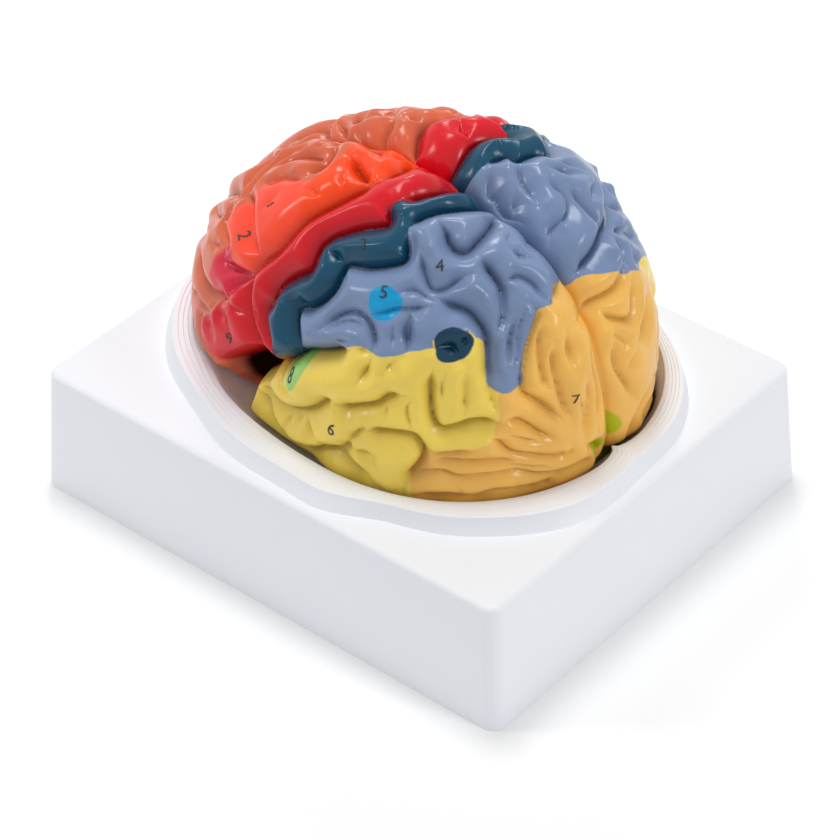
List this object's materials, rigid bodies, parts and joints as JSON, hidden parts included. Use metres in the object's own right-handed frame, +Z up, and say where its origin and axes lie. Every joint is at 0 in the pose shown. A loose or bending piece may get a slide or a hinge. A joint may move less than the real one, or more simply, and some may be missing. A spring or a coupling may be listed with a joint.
{
  "type": "brain anatomy model on a display base",
  "caption": "Life-size folded brain model in halves that part at the mid plane, painted by region, standing in the brain-shaped nest of a white moulded base with a terraced rim.",
  "frame": {"origin": "on the surface the base stands on, under the middle of the base", "axes": "+X towards the back of the brain along the base's long side, -Y towards the brain's left side, +Z up"},
  "size_m": [0.2092, 0.1722, 0.1448],
  "materials": {
    "white_plastic": "satin",
    "painted_vinyl": "gloss",
    "steel": "satin"
  },
  "bodies": {
    "root": {"display_base": "white_plastic", "left_half": "painted_vinyl", "right_half": "painted_vinyl", "locating_pin_front": "steel", "locating_pin_rear": "steel"}
  },
  "joints": []
}
